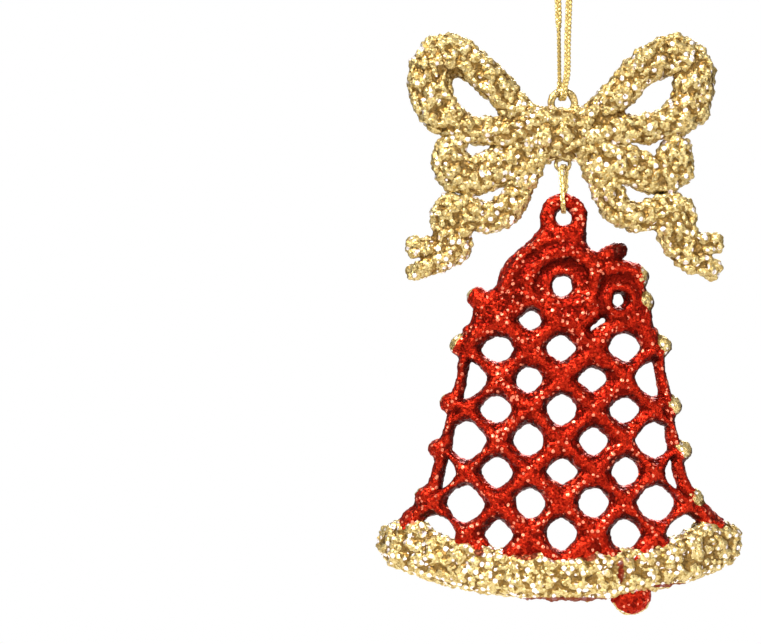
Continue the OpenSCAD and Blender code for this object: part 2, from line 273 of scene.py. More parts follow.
def sweep(shape, line, widths, depth, sides, flat=1.0, closed=False):
    """A bar along a line that stays in one upright plane. Its section is an ellipse with the half
    widths given and a half depth along y. Open ends are rounded."""
    ahead = headings(line, closed)
    across = [unit(np.cross(way, Y)) for way in ahead]
    rings = [
        ellipse(centre, side, Y, width, depth, sides, flat)
        for centre, side, width in zip(line, across, widths)
    ]
    if closed:
        shape.tube(rings, closed=True)
        return
    for end, step in ((0, -1), (len(line) - 1, 1)):
        for angle in CAP_ANGLES:
            reach = widths[end] * math.sin(math.radians(angle))
            shrink = math.cos(math.radians(angle))
            cap = ellipse(line[end] + ahead[end] * step * reach, across[end], Y,
                          widths[end] * shrink, depth * shrink, sides, flat)
            if step < 0:
                rings.insert(0, cap)
            else:
                rings.append(cap)
    shape.tube(rings)


def ball(shape, centre, w, h, d, rings=8, sides=14):
    """An ellipsoid with half sizes w, h and d along x, z and y."""
    loops = []
    for i in range(1, rings):
        a = math.pi * i / rings
        level = centre - Z * h * math.cos(a)
        loops.append(ellipse(level, X, Y, w * math.sin(a), d * math.sin(a), sides))
    shape.tube(loops)


def torus(shape, centre, radius, tube_r):
    """A ring that stands upright and faces the front."""
    line = []
    for k in range(TORUS_STEPS):
        a = 2 * math.pi * k / TORUS_STEPS
        line.append(centre + radius * (X * math.cos(a) + Z * math.sin(a)))
    sweep(shape, line, [tube_r] * TORUS_STEPS, tube_r, TORUS_SIDES, closed=True)


# ---- Meshes into pieces ----
def add(mesh, matrix, name, body, nodes, material):
    """A finished mesh as a piece of the object."""
    mesh.transform(matrix)
    obj = bpy.data.objects.new(name, mesh)
    bpy.context.collection.objects.link(obj)
    mesh.materials.append(material)
    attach(obj, body)
    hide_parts(*nodes)
    return obj


def apply_modifiers(mesh, steps):
    """The mesh after the modifiers in steps: (type, settings) pairs."""
    obj = bpy.data.objects.new("work", mesh)
    bpy.context.collection.objects.link(obj)
    for kind, settings in steps:
        modifier = obj.modifiers.new(kind, kind)
        for key, value in settings.items():
            setattr(modifier, key, value)
    done = bpy.data.meshes.new_from_object(obj.evaluated_get(bpy.context.evaluated_depsgraph_get()))
    bpy.data.objects.remove(obj)
    return done


def coordinates(mesh):
    flat = np.empty(len(mesh.vertices) * 3)
    mesh.vertices.foreach_get("co", flat)
    return flat.reshape(-1, 3)


def normals(mesh):
    flat = np.empty(len(mesh.vertices) * 3)
    mesh.vertex_normals.foreach_get("vector", flat)
    return flat.reshape(-1, 3)


def neighbour_mean(mesh, values, rounds):
    """Values averaged over the mesh's edges, rounds times."""
    edges = np.empty(len(mesh.edges) * 2, dtype=int)
    mesh.edges.foreach_get("vertices", edges)
    a, b = edges.reshape(-1, 2).T
    count = np.bincount(np.concatenate([a, b]), minlength=len(values))[:, None]
    for _ in range(rounds):
        total = np.zeros_like(values)
        for axis in range(values.shape[1]):
            total[:, axis] = np.bincount(a, values[b, axis], len(values))
            total[:, axis] += np.bincount(b, values[a, axis], len(values))
        values = (values + total / np.maximum(count, 1)) / 2
    return values


def store(mesh, name, values):
    attribute = mesh.attributes.new(name, "FLOAT", "POINT")
    attribute.data.foreach_set("value", values.astype(np.float32))


# A grain stands out to this share of its size from its middle, and the crust dips beyond that
GRAIN_REACH = 0.45
# Rounds of averaging that make the neighbourhood a point's rise is measured from
RISE_ROUNDS = 14


def skinned(shape, name, voxel):
    """One closed skin round everything in a shape."""
    return apply_modifiers(shape.mesh(name), [
        ("REMESH", {"mode": "VOXEL", "voxel_size": voxel, "adaptivity": 0}),
        ("SMOOTH", {"factor": 0.6, "iterations": 4}),
    ])


def crusted(skin, lumps, grains, jitter, keep, seed):
    """A moulding's skin under its crust of glitter, raised in lumps with rounded grains on them.

    lumps and grains are (size, height) pairs in millimetres. jitter tips the facets, and keep is the
    share of the facets that stay, so that the rest merge into larger flakes. The mesh stores how far
    each point rises above its neighbourhood.
    """
    places = coordinates(skin)
    outward = normals(skin)
    shift = np.zeros(len(places))
    for size, height in lumps:
        offset = Vector((seed * 7.3, seed * 3.1, size * 11))
        values = [noise.noise(Vector(p) / size + offset) for p in places]
        shift += height * np.array(values)
    for size, height in grains:
        offset = Vector((seed * 2.7, seed * 5.9, size * 7))
        values = [noise.voronoi(Vector(p) / size + offset)[0][0] for p in places]
        shift += height * (GRAIN_REACH - np.array(values))
    draw = np.random.default_rng(seed)
    shift += jitter * draw.uniform(-1, 1, len(places))
    skin.vertices.foreach_set("co", (places + outward * shift[:, None]).ravel())
    skin.update()
    skin = apply_modifiers(skin, [("DECIMATE", {"ratio": keep}), ("TRIANGULATE", {})])
    places = coordinates(skin)
    rise = ((places - neighbour_mean(skin, places, RISE_ROUNDS)) * normals(skin)).sum(axis=1)
    store(skin, "rise", rise)
    return skin


# ---- Solids given by a field, in millimetres: negative inside ----
CORNERS = [(i, j, k) for i in (0, 1) for j in (0, 1) for k in (0, 1)]


def surface(name, field, low, step):
    """The closed surface where a field on a grid of points changes sign: one corner in each cell that
    it passes through, and a quad round each grid line that it cuts."""
    solid = field < 0
    size = np.array(field.shape) - 1
    count = sum(
        solid[i:size[0] + i, j:size[1] + j, k:size[2] + k].astype(np.int8) for i, j, k in CORNERS
    )
    cells = np.argwhere((count > 0) & (count < 8))
    number = np.full(tuple(size), -1)
    number[tuple(cells.T)] = np.arange(len(cells))
    total = np.zeros((len(cells), 3))
    hits = np.zeros(len(cells))
    faces = []
    for axis in range(3):
        ahead = np.eye(3, dtype=int)[axis]
        for corner in CORNERS:
            if corner[axis]:
                continue
            start = cells + corner
            a = field[tuple(start.T)]
            b = field[tuple((start + ahead).T)]
            cut = (a < 0) != (b < 0)
            share = a[cut] / (a[cut] - b[cut])
            total[cut] += start[cut] + share[:, None] * ahead
            hits[cut] += 1
        first = np.take(solid, range(size[axis]), axis)
        second = np.take(solid, range(1, size[axis] + 1), axis)
        lines = np.argwhere(first != second)
        u, v = np.eye(3, dtype=int)[(axis + 1) % 3], np.eye(3, dtype=int)[(axis + 2) % 3]
        quads = np.stack([number[tuple((lines - back).T)] for back in (0 * u, u, u + v, v)], axis=1)
        outward = first[tuple(lines.T)]
        quads[~outward] = quads[~outward][:, ::-1]
        faces.append(quads)
    places = low + step * total / hits[:, None]
    mesh = bpy.data.meshes.new(name)
    mesh.from_pydata(places.tolist(), [], np.concatenate(faces).tolist())
    return mesh


def within_outline(x, z, outline):
    """How far inside a closed outline each place is."""
    nearest = np.full(x.shape, np.inf)
    enclosed = np.zeros(x.shape, dtype=bool)
    for (ax, az), (bx, bz) in zip(outline, outline[1:] + outline[:1]):
        dx, dz = bx - ax, bz - az
        t = np.clip(((x - ax) * dx + (z - az) * dz) / (dx * dx + dz * dz), 0, 1)
        nearest = np.minimum(nearest, np.hypot(x - ax - t * dx, z - az - t * dz))
        if dz:
            enclosed ^= ((az > z) != (bz > z)) & (x < ax + (z - az) * dx / dz)
    return np.where(enclosed, nearest, -nearest)


def within_bar(x, z, path):
    """How far inside a bar of [x, z, half width] points each place is."""
    deepest = np.full(x.shape, -np.inf)
    for (ax, az, aw), (bx, bz, bw) in zip(path, path[1:]):
        dx, dz = bx - ax, bz - az
        t = np.clip(((x - ax) * dx + (z - az) * dz) / (dx * dx + dz * dz), 0, 1)
        away = np.hypot(x - ax - t * dx, z - az - t * dz)
        deepest = np.maximum(deepest, aw + (bw - aw) * t - away)
    return deepest


def off_hole(x, z, centre, wide, tall, roundness):
    """How far outside a hole each place is. wide and tall are half sizes; roundness 1 is a diamond
    and 2 an ellipse."""
    across = np.abs(x - centre[0]) + 1e-6
    up = np.abs(z - centre[1]) + 1e-6
    ratio = ((across / wide) ** roundness + (up / tall) ** roundness) ** (1 / roundness)
    return np.hypot(across, up) * (1 - 1 / ratio)


def merged(a, b, blend):
    """Two fields joined with a fillet of about the size of blend."""
    share = np.clip(0.5 + (b - a) / (2 * blend), 0, 1)
    return b + (a - b) * share - blend * share * (1 - share)


# ---- Materials ----
class Nodes:
    """Shader nodes of one material."""

    def __init__(self, name):
        self.material = bpy.data.materials.new(name)
        self.material.use_nodes = True
        self.tree = self.material.node_tree
        self.shader = self.tree.nodes["Principled BSDF"]
        self.coords = self.tree.nodes.new("ShaderNodeTexCoord").outputs["Object"]

    def node(self, kind, settings=(), **inputs):
        made = self.tree.nodes.new(kind)
        for key, value in dict(settings).items():
            setattr(made, key, value)
        for key, value in inputs.items():
            self.plug(value, made.inputs[key.replace("_", " ")])
        return made

    def plug(self, value, socket):
        if isinstance(value, bpy.types.NodeSocket):
            self.tree.links.new(value, socket)
        else:
            socket.default_value = value

    def maths(self, operation, a, b=0.0):
        made = self.tree.nodes.new("ShaderNodeMath")
        made.operation = operation
        self.plug(a, made.inputs[0])
        self.plug(b, made.inputs[1])
        return made.outputs[0]

    def vector(self, operation, a, b=(0, 0, 0), scale=1.0):
        made = self.tree.nodes.new("ShaderNodeVectorMath")
        made.operation = operation
        self.plug(a, made.inputs[0])
        self.plug(b, made.inputs[1])
        if operation == "SCALE":
            self.plug(scale, made.inputs["Scale"])
        return made.outputs[0]

    def mix(self, amount, a, b):
        made = self.tree.nodes.new("ShaderNodeMix")
        made.data_type = "RGBA"
        self.plug(amount, made.inputs[0])
        self.plug(a, made.inputs[6])
        self.plug(b, made.inputs[7])
        return made.outputs[2]

    def between(self, value, low, high, out_low=0.0, out_high=1.0):
        made = self.node("ShaderNodeMapRange", Value=value)
        made.inputs["From Min"].default_value = low
        made.inputs["From Max"].default_value = high
        made.inputs["To Min"].default_value = out_low
        made.inputs["To Max"].default_value = out_high
        return made.outputs[0]

    def noise(self, size, detail):
        made = self.node("ShaderNodeTexNoise", Vector=self.coords, Scale=1 / size, Detail=detail)
        return made.outputs[0]

    def attribute(self, name):
        return self.node("ShaderNodeAttribute", {"attribute_name": name}).outputs["Fac"]

    def finish(self, **values):
        for key, value in values.items():
            self.plug(value, self.shader.inputs[key.replace("_", " ")])
        return self.material


def colour(r, g, b):
    """A colour given as 0 to 255 on a screen, as the shader wants it."""
    def linear(v):
        v /= 255
        return v / 12.92 if v < 0.04045 else ((v + 0.055) / 1.055) ** 2.4
    return (linear(r), linear(g), linear(b), 1)


def tipped_flakes(n, cell_colour, amount):
    """The surface normal, tipped at random from flake to flake."""
    tip = n.vector("SCALE", n.vector("SUBTRACT", cell_colour, (0.5, 0.5, 0.5)), scale=amount)
    normal = n.node("ShaderNodeNewGeometry").outputs["Normal"]
    return n.vector("NORMALIZE", n.vector("ADD", normal, tip))


def painted_sparkle(n, size, radius, share):
    """Painted glints: round spots of highlight colour, in clusters and more on the crests, that stand
    in for flakes lying flat to the light: 1 on them and 0 between. radius is a share of size."""
    voronoi = n.node("ShaderNodeTexVoronoi", Vector=n.coords, Scale=1 / size)
    pick = n.node("ShaderNodeSeparateColor", Color=voronoi.outputs["Color"]).outputs[0]
    disc = n.between(voronoi.outputs["Distance"], radius - 0.1, radius, 1.0, 0.0)
    # Painted glints gather on the crests, where the light catches.
    crest = n.between(n.attribute("rise"), -0.2 * MM, 0.25 * MM, -0.2, 0.15)
    cluster = n.between(n.noise(4 * MM, 2), 0.35, 0.65, -0.25, 0.25)
    luck = n.maths("ADD", pick, n.maths("ADD", crest, cluster))
    return n.maths("MULTIPLY", disc, n.between(luck, 1 - share, 1.02 - share))


def gold_hue(n, shade, painted_glint):
    """Champagne gold glitter in clear glue, with painted shade that turns it brown between the lumps."""
    hue = n.mix(n.between(shade, 0.05, 0.95), colour(164, 134, 72), colour(224, 204, 146))
    # Painted shade: brown where the crust dips below its neighbourhood.
    depth = n.between(n.attribute("rise"), -0.36 * MM, -0.02 * MM, 0.85, 0.0)
    hue = n.mix(depth, hue, colour(112, 78, 26))
    patches = n.between(n.noise(4 * MM, 3), 0.52, 0.7, 0.0, 0.3)
    hue = n.mix(patches, hue, colour(150, 114, 52))
    # Painted highlight: near-white glints mixed into the base colour.
    return n.mix(painted_glint, hue, colour(255, 244, 242))


def red_hue(n, shade, painted_glint):
    """Red glitter over a red moulding, with painted shade that darkens it between the lumps."""
    hue = n.mix(n.between(shade, 0.1, 0.95), colour(130, 14, 4), colour(186, 44, 20))
    # Painted shade: darker where the crust dips below its neighbourhood.
    depth = n.between(n.attribute("rise"), -0.24 * MM, 0.0, 0.8, 0.0)
    hue = n.mix(depth, hue, colour(84, 7, 2))
    patches = n.between(n.noise(6 * MM, 3), 0.5, 0.7, 0.0, 0.35)
    hue = n.mix(patches, hue, colour(112, 10, 4))
    # Painted highlight: pinkish-white glints mixed into the base colour.
    return n.mix(painted_glint, hue, colour(250, 140, 108))


def flakes(n, size):
    """A pattern of flakes: a random colour for each, and its parts as three random numbers."""
    voronoi = n.node("ShaderNodeTexVoronoi", Vector=n.coords, Scale=1 / size)
    split = n.node("ShaderNodeSeparateColor", Color=voronoi.outputs["Color"])
    return voronoi.outputs["Color"], split.outputs


def gold_glitter(name, painted_glint_share):
    """Coarse gold glitter, red where a mesh says that it is worn. The second argument is the share
    of painted glints, spots of highlight colour in the base colour, among the larger flakes."""
    n = Nodes(name)
    cell, (_, shade, gloss) = flakes(n, 0.45 * MM)
    hue = gold_hue(n, shade, painted_sparkle(n, 1.45 * MM, 0.4, painted_glint_share))
    worn = n.between(n.attribute("worn"), 0.3, 0.7, 0.0, 0.9)
    hue = n.mix(worn, hue, colour(112, 18, 9))
    return n.finish(
        Base_Color=hue, Metallic=0.95, Normal=tipped_flakes(n, cell, 0.55),
        Roughness=n.between(gloss, 0, 1, 0.35, 0.6),
    )


def red_glitter():
    """The bell's red, with the gold that has caught it, the brown of the bud, and painted shade on the
    walls that face away from the key light.
    """
    n = Nodes("red_glitter")
    cell, (_, shade, gloss) = flakes(n, 0.35 * MM)
    grain = n.between(n.noise(1.2 * MM, 2), 0.35, 0.65, -0.25, 0.25)
    gilt = n.between(n.maths("ADD", n.attribute("gilt"), grain), 0.45, 0.6)
    # Painted highlight: glints mixed into the red and the gold alike.
    painted_glint = painted_sparkle(n, 1.0 * MM, 0.4, 0.24)
    hue = n.mix(gilt, red_hue(n, shade, painted_glint), gold_hue(n, shade, painted_glint))
    # The bud's own brown, and painted shade on walls that face down and to the right.
    bud_brown_and_painted_shade = n.between(n.maths("ADD", n.attribute("bud_brown_and_painted_shade"), grain), 0.2, 0.9, 0.0, 0.92)
    hue = n.mix(bud_brown_and_painted_shade, hue, colour(58, 10, 6))
    return n.finish(
        Base_Color=hue, Metallic=0.97, Normal=tipped_flakes(n, cell, 0.3),
        Roughness=n.between(gloss, 0, 1, 0.35, 0.55),
    )


def gold_thread():
    """Spun metallic yarn."""
    n = Nodes("gold_thread")
    fibre = n.noise(0.12 * MM, 1)
    hue = n.mix(n.between(fibre, 0.35, 0.65), colour(150, 118, 52), colour(236, 214, 138))
    bump = n.node("ShaderNodeBump", Strength=0.4, Distance=0.05 * MM, Height=fibre)
    return n.finish(Base_Color=hue, Metallic=0.55, Roughness=0.36, Normal=bump.outputs[0])


# The second number is the share of painted glints; the rim's larger share makes it paler.
GOLD = gold_glitter("gold_glitter", 0.28)
RIM_GOLD = gold_glitter("rim_gold_glitter", 0.66)
RED = red_glitter()
THREAD = gold_thread()


# ---- Threads ----
PLIES = 3
# A ply's radius is this share of the braid's width, and it is wider than thick
PLY_SHARE, PLY_WIDENING = 0.19, 1.25
PLY_CROSSING = 0.7
PLY_SIDES = 8
CORD_PITCH, TIE_PITCH = 2.6, 4.5
# The hanging thread starts back up this far along it. Before that, its rear strand turns edge-on
# between the two heights, easing in and out of the turn.
RETURN_PLACE = 66
EDGE_ON = math.radians(80)
TURN_LOW, TURN_HIGH = 2, 17
TURN_EASE_LOW, TURN_EASE_HIGH = 3, 2.5
# Knots: size, and half the width of the yarn they are tied in
CORD_KNOT, TIE_KNOT = (1.15, 0.5), (0.62, 0.28)
KNOT_STEPS, KNOT_PITCH = 72, 2.0
# One cut end of the hanging thread, from the knot's middle
CUT_END = [(0.3, 0.1, 0.4), (0.8, 0.25, 2.6), (1.35, 0.1, 5.2)]
CUT_END_PITCH = 2.2


def braid(shape, line, width, pitch, turn=None, closed=False, step=0.2):
    """A flat braid of three plies along line. turn gives its twist from lying across x, by place."""
    if closed:
        line = list(line) + [line[0]]
    line, places = evenly(line, step)
    if closed:
        line, places = line[:-1], places[:-1]
        length = places[-1] + step
        pitch = length / round(length / pitch)
    ahead = headings(line, closed)
    ply_r = width * PLY_SHARE
    across = width / 2 - ply_r
    for ply in range(PLIES):
        centres = []
        sides = []
        for i, centre in enumerate(line):
            side = unit(X - ahead[i] * ahead[i][0])
            depth = np.cross(side, ahead[i])
            angle = turn(line[i], places[i]) if turn else 0.0
            side, depth = (side * math.cos(angle) + depth * math.sin(angle),
                           depth * math.cos(angle) - side * math.sin(angle))
            phase = 2 * math.pi * (places[i] / pitch + ply / PLIES)
            swing = side * across * math.sin(phase)
            centres.append(centre + swing + depth * ply_r * PLY_CROSSING * math.sin(2 * phase))
            sides.append(side)
        rings = []
        along = headings(centres, closed)
        for i, centre in enumerate(centres):
            out = unit(sides[i] - along[i] * np.dot(sides[i], along[i]))
            thick = np.cross(along[i], out)
            rings.append(ellipse(centre, out, thick, ply_r * PLY_WIDENING, ply_r, PLY_SIDES))
        shape.tube(rings, closed)


def cord_turn(point, place):
    """The rear strand turns edge-on just above the eyelet; the front one lies flat."""
    if place > RETURN_PLACE:
        return 0.0
    above = min(1, max(0, (TURN_HIGH - point[2]) / TURN_EASE_HIGH))
    below = min(1, max(0, (point[2] - TURN_LOW) / TURN_EASE_LOW))
    return EDGE_ON * above * below


def make_cord():
    shape = Shape()
    line = smooth(CORD_ROUTE, 6)
    braid(shape, line, CORD_W, CORD_PITCH, cord_turn)
    mesh = shape.mesh("hanging_cord")
    cord = add(mesh, BOW_FRAME, "hanging_cord", "hanger", ["hanging_cord"], THREAD)
    knot = make_knot("cord_knot", (0, 0, CORD_KNOT_Z), *CORD_KNOT, "hanger", cut_ends=True)
    path = [BOW_FRAME @ Vector(p) for p in line]
    length = sum((b - a).length for a, b in zip(path, path[1:]))
    tuple(path[0])
    [tuple(p) for p in path]


def make_knot(name, centre, size, yarn, body, cut_ends=False):
    """An overhand knot, which is a trefoil. Its two cut ends stand above it where they are wanted."""
    shape = Shape()
    centre = np.array(centre, dtype=float)
    loop = []
    for k in range(KNOT_STEPS):
        a = 2 * math.pi * k / KNOT_STEPS
        reach = 0.62 + 0.38 * math.cos(3 * a)
        loop.append(centre + size * np.array((
            math.cos(2 * a) * reach, 0.62 * math.sin(3 * a), math.sin(2 * a) * reach)))
    braid(shape, loop, yarn * 2, KNOT_PITCH, closed=True, step=0.15)
    if cut_ends:
        for side in (-1, 1):
            end = [centre + (side * x, side * y, z) for x, y, z in CUT_END]
            braid(shape, smooth(end, 8), yarn * 1.9, CUT_END_PITCH)
    return add(shape.mesh(name), BOW_FRAME, name, body, [name], THREAD)


def make_tie():
    """A closed loop of thread through the bow's tab and the bell's ring, wider at the top, with its
    knot at the back."""
    gap = 0.15
    thread_r = 0.35
    knot_back = 0.8
    top_z, low_z = TAB_Z - TAB_R, RING_Z + RING_R
    top_r = TAB_TUBE + thread_r + gap
    low_r = RING_TUBE + thread_r + gap
    front_x, back_x = -0.15, 0.45
    spread = 0.3
    line = []
    for degrees in range(0, 181, 20):
        a = math.radians(degrees)
        x = back_x + spread + (front_x - back_x - 2 * spread) * degrees / 180
        line.append((x, top_r * math.cos(a), top_z + top_r * math.sin(a)))
    for degrees in range(0, 181, 20):
        a = math.radians(degrees)
        x = front_x + (back_x - front_x) * degrees / 180
        line.append((x, -low_r * math.cos(a), low_z - low_r * math.sin(a)))
    shape = Shape()
    braid(shape, smooth(line, 4, closed=True), TIE_W, TIE_PITCH, closed=True)
    add(shape.mesh("tie_thread"), BOW_FRAME, "tie_thread", "tie", ["tie_thread"], THREAD)
    knot_place = (back_x, top_r + knot_back, (top_z + low_z) / 2)
    make_knot("tie_knot", knot_place, *TIE_KNOT, "tie")


make_cord()
make_tie()


# ---- Bow ----
CRUST = 0.25
HALF_DEPTH = {"upper": 2.7, "lower": 2.4, "tail": 2.1, "prong": 1.7}
# The crust of gold glitter: (size, height) pairs, then the jitter and the share of facets kept
GOLD_LUMPS = [(3.0, 0.4), (1.6, 0.25)]
GOLD_GRAINS = [(2.6, 0.85), (1.3, 0.75)]
GOLD_JITTER, GOLD_KEEP = 0.03, 0.4
GOLD_VOXEL = 0.3
# The knot's lumps: [x, z, half width, half height, half depth] from its centre
KNOT_BALLS = [
    (0, 0, 6.8, 5.8, 3.7), (-0.5, -3.8, 3.4, 1.7, 1.6), (-3.2, 0, 3.6, 5.9, 3.4), (3.2, 0, 3.6, 5.9, 3.4),
]
# The eyelet and the tab are made thinner by these amounts, so that the threads clear their crust
EYELET_THINNER, TAB_THINNER = 0.13, 0.17
LOOP_LUMPS, LOOP_GRAINS = [(1.3, 0.06)], [(0.8, 0.14)]
LOOP_JITTER, LOOP_KEEP = 0.02, 0.5
LOOP_VOXEL = 0.2


def padded_line(path):
    """Even points [x, y, z, half width] along a path of [x, z, half width] points."""
    line, _ = evenly(smooth([(x, 0, z, w) for x, z, w in path], 6), 0.8)
    return line


def ribbon(shape, path, depth):
    """A padded ribbon along [x, z, half width] points."""
    line = padded_line([(x, z, w + CRUST) for x, z, w in path])
    sweep(shape, line[:, :3], line[:, 3], depth, sides=18, flat=0.8)


def bow_piece(name, shape, seed):
    skin = skinned(shape, name, GOLD_VOXEL)
    mesh = crusted(skin, GOLD_LUMPS, GOLD_GRAINS, GOLD_JITTER, GOLD_KEEP, seed)
    add(mesh, BOW_FRAME, name, "bow", [name], GOLD)


def make_bow():
    for seed, (name, path, kind) in enumerate((
        ("bow_upper_loop_left", UPPER_LEFT, "upper"),
        ("bow_upper_loop_right", UPPER_RIGHT, "upper"),
        ("bow_lower_loop_left", LOWER_LEFT, "lower"),
        ("bow_lower_loop_right", LOWER_RIGHT, "lower"),
    )):
        shape = Shape()
        ribbon(shape, path, HALF_DEPTH[kind])
        bow_piece(name, shape, seed + 11)
    for seed, (name, path, prongs) in enumerate((
        ("bow_tail_left", TAIL_LEFT, TAIL_LEFT_PRONGS),
        ("bow_tail_right", TAIL_RIGHT, TAIL_RIGHT_PRONGS),
    )):
        shape = Shape()
        ribbon(shape, path, HALF_DEPTH["tail"])
        for prong in prongs:
            ribbon(shape, prong, HALF_DEPTH["prong"])
        bow_piece(name, shape, seed + 21)
    make_bow_knot()
    make_bow_rings()


def make_bow_knot():
    shape = Shape()
    centre = np.array((0, 0, KNOT_Z))
    for x, z, w, h, d in KNOT_BALLS:
        ball(shape, centre + (x, 0, z), w, h, d)
    bow_piece("bow_knot", shape, 31)


def make_bow_rings():
    """The eyelet that the hanging thread passes through, and the tab for the tie."""
    for name, z, radius, tube_r, thinner, seed in (
        ("bow_eyelet", 0, EYELET_R, EYELET_TUBE, EYELET_THINNER, 41),
        ("bow_tab", TAB_Z, TAB_R, TAB_TUBE, TAB_THINNER, 42),
    ):
        shape = Shape()
        torus(shape, Z * z, radius + thinner / 3, tube_r - thinner)
        skin = skinned(shape, name, LOOP_VOXEL)
        mesh = crusted(skin, LOOP_LUMPS, LOOP_GRAINS, LOOP_JITTER, LOOP_KEEP, seed)
        add(mesh, BOW_FRAME, name, "bow", [name], GOLD)


make_bow()


# ---- Bell ----
PLATE_STEP = 0.3
PLATE_LOW = np.array((-38.0, -4.8, -94.0))
PLATE_HIGH = np.array((38.0, 4.8, -16.5))
LATTICE_DEPTH, CROWN_DEPTH = 1.9, 2.2
EDGE_ROUND = 2.5
# The lattice turns into the crown between these heights
LATTICE_TOP_Z, CROWN_LOW_Z = -48, -44
RING_THINNER = 0.15
RING_FILLET, LEAF_FILLET, NUB_FILLET = 0.9, 0.7, 0.8

# Holes of the lattice, by half sizes. The whole pattern sits a little to the left.
HOLE_SHIFT = 0.4
HOLE_WIDE, OUTER_HOLE_WIDE = 3.0, 3.9
UPPER_HOLE_TALL, HOLE_TALL, OUTER_HOLE_TALL = 2.6, 2.9, 3.7
UPPER_ROWS = 2
OUTER_FROM = 16
HOLE_VARIES = 0.2
HOLE_ROUNDNESS = (1.4, 1.75)
STRAND_RISE, STRAND_W = 0.5, 1.3

# Openings of the crown: centre, half width, half height and roundness
CROWN_HOLES = [
    (ROSETTE, 2.1, 2.05, 2), (SIDE_ROSETTE, 1.15, 1.25, 2), ((-6.5, -43.5), 2.3, 1.8, 1.6),
]
CROWN_SLIT = [(5.7, -45.1, 0.35), (8, -43.4, 0.35)]
# The crown's shoulder is a ridge along this line, with a dimple under it
SHOULDER = [
    (-1, -27.6, 0), (-4.1, -27.8, 0), (-6.4, -29, 0), (-8.4, -30.8, 0), (-9.8, -33.4, 0),
    (-11.4, -36.4, 0),
]
SHOULDER_RISE, SHOULDER_W = 0.8, 1.0
DIMPLE_X, DIMPLE_Z = -5.4, -31.4
DIMPLE_RISE, DIMPLE_W, DIMPLE_FLAT = -0.9, 1.7, 1.3
# Circles round the rosettes, by radius, width and rise: ridges, and grooves where the rise is below 0
ROSETTE_RIDGE, ROSETTE_GROOVE = (6.7, 1.3, 0.75), (4.3, 1.2, -1.0)
SIDE_BEAD, SIDE_GROOVE, SIDE_RIDGE = (2.3, 0.8, 0.6), (4.1, 1.0, -0.7), (6.6, 1.0, 0.6)

# The crust of red glitter
RED_LUMPS = [(2.6, 0.3), (1.1, 0.15)]
RED_GRAINS = [(0.75, 0.22)]
RED_JITTER, RED_KEEP = 0.04, 0.5

# The gold that has caught the nubs lies towards [x, z] on them. Each nub on the left has its own
# share of it.
GILT_LEFT, GILT_RIGHT = (-0.8, 0.5), (0.7, 0.6)
LEFT_SHARES = (0.4, 1.0, 0.3, 0.1, 0.2)
# It has also caught the right edge, which runs through [distance below the eyelet, x]
GILT_EDGE = [
    (33, 15.8), (35.4, 16.6), (38.4, 16.6), (41, 17.4), (45, 18.8), (51, 20.2), (56, 21), (60.6, 22.2),
]


def bent(mesh):
    """A mesh of the flat drawing, bent to the sheet that the bell bulges to."""
    x, y, z = coordinates(mesh).T
    lean = x / BELL_R
    straight = np.sqrt(1 - lean**2)
    places = np.stack([x - y * lean, BELL_R * (1 - straight) + y * straight, z], axis=1)
    mesh.vertices.foreach_set("co", places.ravel())
    mesh.update()
    return mesh


def lattice_holes():
    """Centre, half sizes and roundness of every hole in the lattice. The outer ones are stretched."""
    draw = np.random.default_rng(7)
    for row in range(ROWS):
        for k in range(-2, 3):
            along = (k + (0.5 if row % 2 else 0)) * HOLE_PITCH - HOLE_SHIFT
            x = BELL_R * math.sin(along / BELL_R)
            z = FIRST_ROW_Z - row * ROW_PITCH
            wide = HOLE_WIDE
            tall = UPPER_HOLE_TALL if row < UPPER_ROWS else HOLE_TALL
            if abs(along) > OUTER_FROM:
                wide, tall = OUTER_HOLE_WIDE, OUTER_HOLE_TALL
            off_x, off_z, grow, squeeze = draw.uniform(-HOLE_VARIES, HOLE_VARIES, 4)
            centre = (x + off_x, z + off_z)
            yield centre, wide + grow + squeeze, tall + grow - squeeze, draw.uniform(*HOLE_ROUNDNESS)


def bump(distance, width):
    """A rounded ridge: 1 at no distance, and nearly 0 at twice the width."""
    return np.exp(-(distance / width) ** 2)


def circle(reach, radius, width, rise):
    """Height of a rounded ridge along a circle, for places that are reach from its centre."""
    return rise * bump(reach - radius, width)


def lobe(angle, towards, middle, swing):
    """A share that is greatest in one direction, given in degrees."""
    return np.clip(middle + swing * np.cos(angle - math.radians(towards)), 0, 1)


def strand_relief(x, z):
    """Height of the lattice's strands: ridges that run both ways midway between the holes."""
    along = (BELL_R * np.arcsin(x / BELL_R) + HOLE_SHIFT) / (HOLE_PITCH / 2)
    down = (FIRST_ROW_Z - z) / ROW_PITCH
    spacing = math.hypot(2 / HOLE_PITCH, 1 / ROW_PITCH)
    ridges = [bump((np.mod(way, 2) - 1) / spacing, STRAND_W) for way in (along + down, along - down)]
    return STRAND_RISE * np.maximum(*ridges)


def crown_relief(x, z):
    """Height of the crown's moulded scrolls: a shoulder, and two rosettes with grooves round them."""
    height = SHOULDER_RISE * bump(within_bar(x, z, SHOULDER), SHOULDER_W)
    right, up = x - ROSETTE[0], z - ROSETTE[1]
    reach = np.hypot(right, up)
    angle = np.arctan2(up, right)
    upper_part = 0.4 + 0.6 * np.clip(np.sin(angle) + 0.8, 0, 1)
    height += circle(reach, *ROSETTE_RIDGE) * upper_part
    height += circle(reach, *ROSETTE_GROOVE) * lobe(angle, 105, 0.35, 0.65)
    from_dimple = np.hypot(x - DIMPLE_X, (z - DIMPLE_Z) * DIMPLE_FLAT)
    height += DIMPLE_RISE * bump(from_dimple, DIMPLE_W)
    right, up = x - SIDE_ROSETTE[0], z - SIDE_ROSETTE[1]
    reach = np.hypot(right, up)
    height += circle(reach, *SIDE_BEAD)
    height += circle(reach, *SIDE_GROOVE) * lobe(np.arctan2(up, right), 125, 0.3, 0.7)
    height += circle(reach, *SIDE_RIDGE) * np.clip(up / 6, 0, 1)
    return height


